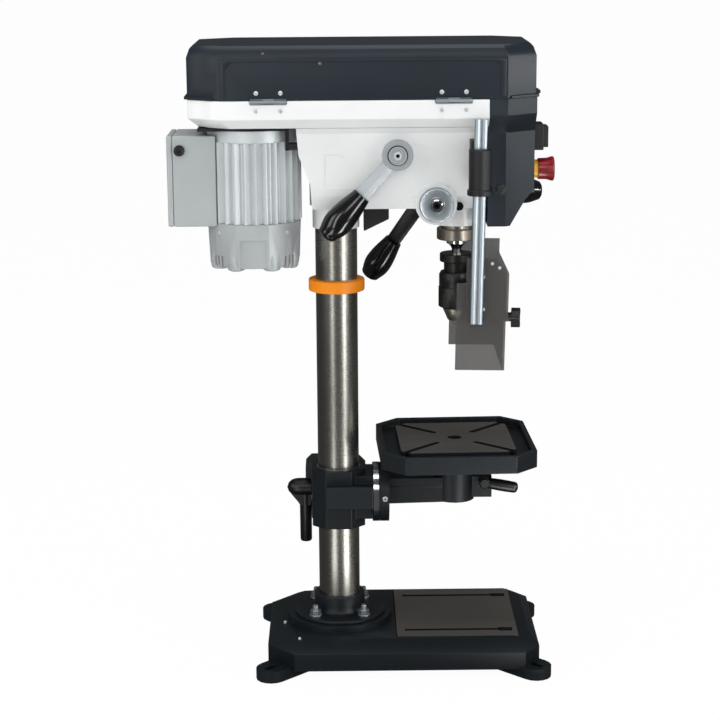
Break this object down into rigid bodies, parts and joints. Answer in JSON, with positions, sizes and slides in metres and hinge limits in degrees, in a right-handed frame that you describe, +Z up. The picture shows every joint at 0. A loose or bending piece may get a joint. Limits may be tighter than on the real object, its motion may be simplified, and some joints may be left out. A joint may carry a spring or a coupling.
{
  "type": "drill press",
  "caption": "Benchtop drill press: cast base and column, tilting table, stepped belt drive under a hinged cover, motor, quill with chuck and feed levers, swing-away guard.",
  "frame": {"origin": "middle of the whole object's footprint, on the floor under the base's feet", "axes": "+Z up along the column, +X from the column to the front where the switch is, +Y to the machine's far side with the feed levers, so the near side in the picture is -Y"},
  "size_m": [0.6363, 0.3402, 1.049],
  "materials": {
    "anthracite": "textured dark grey-blue paint on cast iron",
    "steel": "turned bright steel",
    "orange": "glossy orange paint",
    "white": "smooth white paint on cast iron",
    "white_sheet": "smooth white paint",
    "zinc": "zinc plate, dull",
    "anthracite_sheet": "dark grey-blue textured powder coat",
    "black_matte": "matte black plastic",
    "yellow": "yellow plastic",
    "rubber": "black belt rubber",
    "black_paint": "satin black paint on cast iron",
    "red": "glossy dark red plastic",
    "grey": "light grey paint on cast aluminium",
    "black_plastic": "glossy black plastic",
    "aluminium": "turned aluminium",
    "chuck_black": "burnished black steel",
    "smoked": "translucent smoked plastic sheet"
  },
  "bodies": {
    "root": {"base_casting": "anthracite", "column_flange": "anthracite", "flange_bolt_1": "steel", "flange_bolt_2": "steel", "flange_bolt_3": "steel", "flange_bolt_4": "steel", "column": "steel", "column_ring": "orange", "head_casting": "white", "belt_pan": "white_sheet", "hinge_rear_lower": "zinc", "hinge_front_lower": "zinc", "front_housing": "anthracite_sheet", "work_lamp": "black_matte", "switch_housing": "black_matte", "estop_collar": "yellow", "spring_cap": "zinc", "guard_cradle": "black_matte", "rear_belt": "rubber", "front_belt": "rubber"},
    "bush": {"bracket_bush": "zinc"},
    "bracket": {"table_bracket": "anthracite"},
    "column_lock": {"column_lock_lever": "black_paint"},
    "arm": {"table_arm": "anthracite"},
    "table": {"work_table": "anthracite"},
    "table_lock": {"table_lock_lever": "black_paint"},
    "cover": {"pulley_cover": "anthracite_sheet", "hinge_rear_upper": "zinc", "hinge_front_upper": "zinc"},
    "rocker": {"switch_rocker": "black_matte"},
    "stop_button": {"estop_button": "red"},
    "push_button": {"lower_button": "red"},
    "motor": {"motor_body": "grey", "fan_cover": "grey", "motor_carriage": "black_paint", "terminal_box": "grey", "terminal_lid": "grey", "cable_gland": "black_matte"},
    "tension": {"tension_lever": "zinc", "tension_grip": "black_plastic"},
    "rotor": {"motor_pulley": "aluminium"},
    "idler": {"idler_pulley": "aluminium"},
    "drive_pulley": {"spindle_pulley": "aluminium"},
    "quill": {"quill": "steel"},
    "feed": {"feed_shaft": "steel", "feed_hub": "black_paint", "feed_grip_1": "black_plastic", "feed_grip_2": "black_plastic", "feed_grip_3": "black_plastic"},
    "spindle": {"spindle": "steel", "chuck_body": "chuck_black"},
    "sleeve": {"chuck_sleeve": "chuck_black"},
    "jaw_a": {"jaw_1": "steel"},
    "jaw_b": {"jaw_2": "steel"},
    "jaw_c": {"jaw_3": "steel"},
    "guard_holder": {"guard_sleeve": "black_matte"},
    "guard": {"guard_rod": "aluminium", "upper_shield": "smoked"},
    "guard_extension": {"lower_shield": "smoked"},
    "guard_knob": {"shield_knob": "black_plastic"}
  },
  "joints": [
    {"name": "bracket_slide", "type": "slide", "parent": "root", "child": "bush", "axis": [0, 0, 1], "range_m": [-0.09, 0.115]},
    {"name": "bracket_swing", "type": "hinge", "parent": "bush", "child": "bracket", "pos_m": [-0.044, 0, 0.282], "axis": [0, 0, 1], "range_deg": [-180, 180]},
    {"name": "column_lock_turn", "type": "hinge", "parent": "bracket", "child": "column_lock", "pos_m": [-0.102, 0.054, 0.275], "axis": [1, 0, 0], "range_deg": [-20, 100]},
    {"name": "table_tilt", "type": "hinge", "parent": "bracket", "child": "arm", "pos_m": [0.022, 0, 0.282], "axis": [1, 0, 0], "range_deg": [-45, 45]},
    {"name": "table_turn", "type": "hinge", "parent": "arm", "child": "table", "pos_m": [0.155, 0, 0.377], "axis": [0, 0, 1], "range_deg": [-180, 180]},
    {"name": "table_lock_turn", "type": "hinge", "parent": "arm", "child": "table_lock", "pos_m": [0.205, -0.026, 0.304], "axis": [0, 1, 0], "range_deg": [-40, 60]},
    {"name": "cover_hinge", "type": "hinge", "parent": "root", "child": "cover", "pos_m": [0, -0.119, 0.9615], "axis": [1, 0, 0], "range_deg": [0, 95]},
    {"name": "rocker_press", "type": "slide", "parent": "root", "child": "rocker", "axis": [-1, 0, 0], "range_m": [0, 0.0025], "stiffness_N_per_m": 600, "springref_m": -0.001},
    {"name": "stop_press", "type": "slide", "parent": "root", "child": "stop_button", "axis": [-1, 0, 0], "range_m": [0, 0.004]},
    {"name": "button_press", "type": "slide", "parent": "root", "child": "push_button", "axis": [-0.8345, 0, 0.551], "range_m": [0, 0.002], "stiffness_N_per_m": 500, "springref_m": -0.001},
    {"name": "motor_slide", "type": "slide", "parent": "root", "child": "motor", "axis": [1, 0, 0], "range_m": [0, 0.012], "deforming": ["rear_belt"]},
    {"name": "tension_turn", "type": "hinge", "parent": "root", "child": "tension", "pos_m": [0.0565, -0.092, 0.872], "axis": [0, -1, 0], "range_deg": [0, 45]},
    {"name": "motor_spin", "type": "hinge", "parent": "motor", "child": "rotor", "pos_m": [-0.179, 0, 0.95], "axis": [0, 0, 1], "continuous": true},
    {"name": "idler_spin", "type": "hinge", "parent": "root", "child": "idler", "pos_m": [-0.011, 0, 0.96], "axis": [0, 0, 1], "continuous": true},
    {"name": "pulley_spin", "type": "hinge", "parent": "root", "child": "drive_pulley", "pos_m": [0.157, 0, 0.96], "axis": [0, 0, 1], "continuous": true},
    {"name": "quill_travel", "type": "slide", "parent": "root", "child": "quill", "axis": [0, 0, -1], "range_m": [0, 0.07], "stiffness_N_per_m": 800, "springref_m": -0.09},
    {"name": "feed_turn", "type": "hinge", "parent": "root", "child": "feed", "pos_m": [0.119, 0, 0.791], "axis": [0, 1, 0], "range_deg": [0, 365]},
    {"name": "spindle_spin", "type": "hinge", "parent": "quill", "child": "spindle", "pos_m": [0.157, 0, 0.74], "axis": [0, 0, 1], "continuous": true},
    {"name": "sleeve_turn", "type": "hinge", "parent": "spindle", "child": "sleeve", "pos_m": [0.157, 0, 0.64], "axis": [0, 0, 1], "range_deg": [0, 1440]},
    {"name": "jaw_a_travel", "type": "slide", "parent": "spindle", "child": "jaw_a", "axis": [0.2085, 0, 0.978], "range_m": [0, 0.02]},
    {"name": "jaw_b_travel", "type": "slide", "parent": "spindle", "child": "jaw_b", "axis": [-0.1042, 0.1805, 0.978], "range_m": [0, 0.02]},
    {"name": "jaw_c_travel", "type": "slide", "parent": "spindle", "child": "jaw_c", "axis": [-0.1042, -0.1805, 0.978], "range_m": [0, 0.02]},
    {"name": "guard_swing", "type": "hinge", "parent": "root", "child": "guard_holder", "pos_m": [0.1865, -0.13, 0.849], "axis": [0, 0, 1], "range_deg": [-110, 0]},
    {"name": "guard_height", "type": "slide", "parent": "guard_holder", "child": "guard", "axis": [0.02, 0, 0.9998], "range_m": [-0.045, 0.018]},
    {"name": "extension_height", "type": "slide", "parent": "guard", "child": "guard_extension", "axis": [0.02, 0, 0.9998], "range_m": [0, 0.05]},
    {"name": "knob_turn", "type": "hinge", "parent": "guard", "child": "guard_knob", "pos_m": [0.2273, -0.0065, 0.5881], "axis": [0.9998, 0, -0.02], "range_deg": [-180, 180]}
  ],
  "couplings": [
    {"joint": "tension_turn", "follows": "motor_slide", "rad_per_m": 65},
    {"joint": "motor_spin", "follows": "spindle_spin", "ratio": 3.4125},
    {"joint": "idler_spin", "follows": "spindle_spin", "ratio": 1.3125},
    {"joint": "pulley_spin", "follows": "spindle_spin", "ratio": 1},
    {"joint": "feed_turn", "follows": "quill_travel", "rad_per_m": 90.9},
    {"joint": "jaw_a_travel", "follows": "sleeve_turn", "m_per_rad": 0.00079},
    {"joint": "jaw_b_travel", "follows": "sleeve_turn", "m_per_rad": 0.00079},
    {"joint": "jaw_c_travel", "follows": "sleeve_turn", "m_per_rad": 0.00079}
  ]
}
